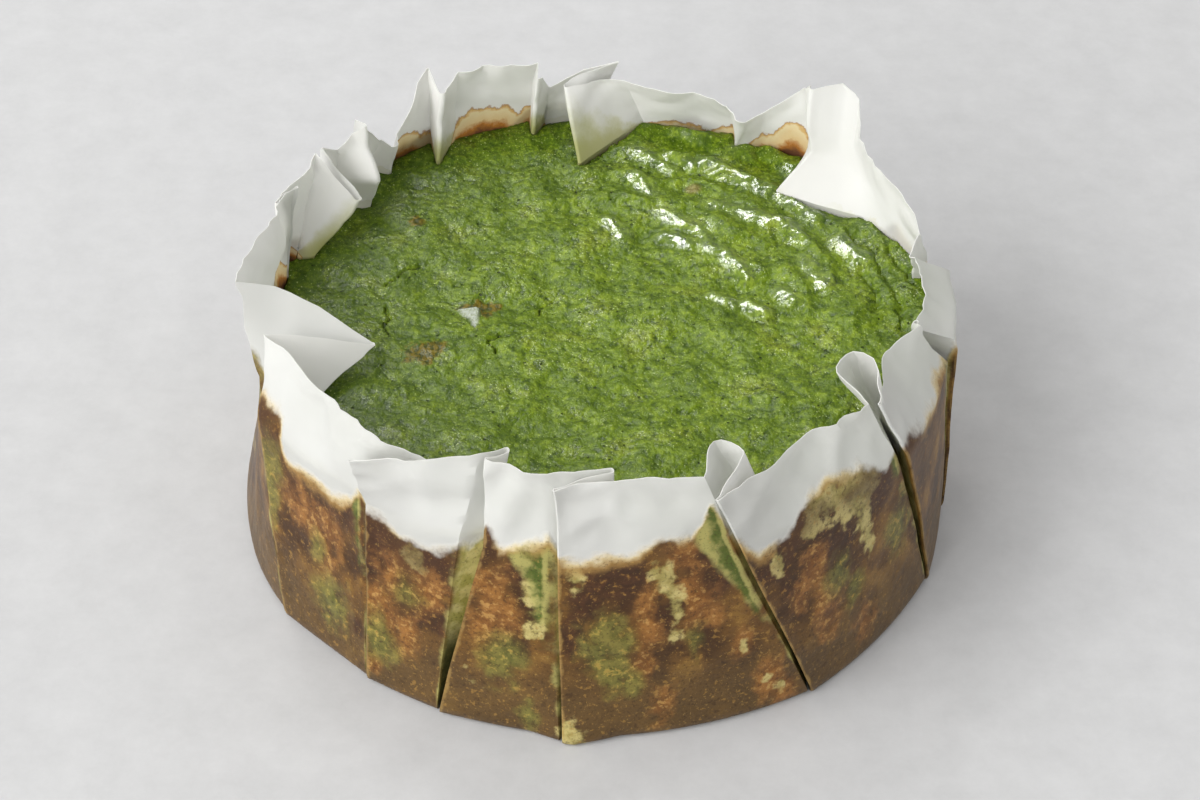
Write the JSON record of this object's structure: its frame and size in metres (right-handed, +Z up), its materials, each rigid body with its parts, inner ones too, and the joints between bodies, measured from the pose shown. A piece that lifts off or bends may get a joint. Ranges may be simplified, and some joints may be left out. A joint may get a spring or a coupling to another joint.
{
  "type": "basque cheesecake",
  "caption": "Round basque cheesecake with a moist green top, in the pleated sheet of white baking parchment it was baked in, stained brown below the cake's edge",
  "frame": {"origin": "middle of the flat underside of the paper, on the surface the cake stands on", "axes": "+Z up, the height of the cake; -Y is the front, the side that the picture shows"},
  "size_m": [0.1477, 0.1482, 0.066],
  "materials": {
    "cheesecake": null,
    "paper_case": "white baking parchment, creased, soaked and browned below the cake's edge"
  },
  "bodies": {
    "root": {"cheesecake": "cheesecake", "paper_case": "paper_case"}
  },
  "joints": []
}
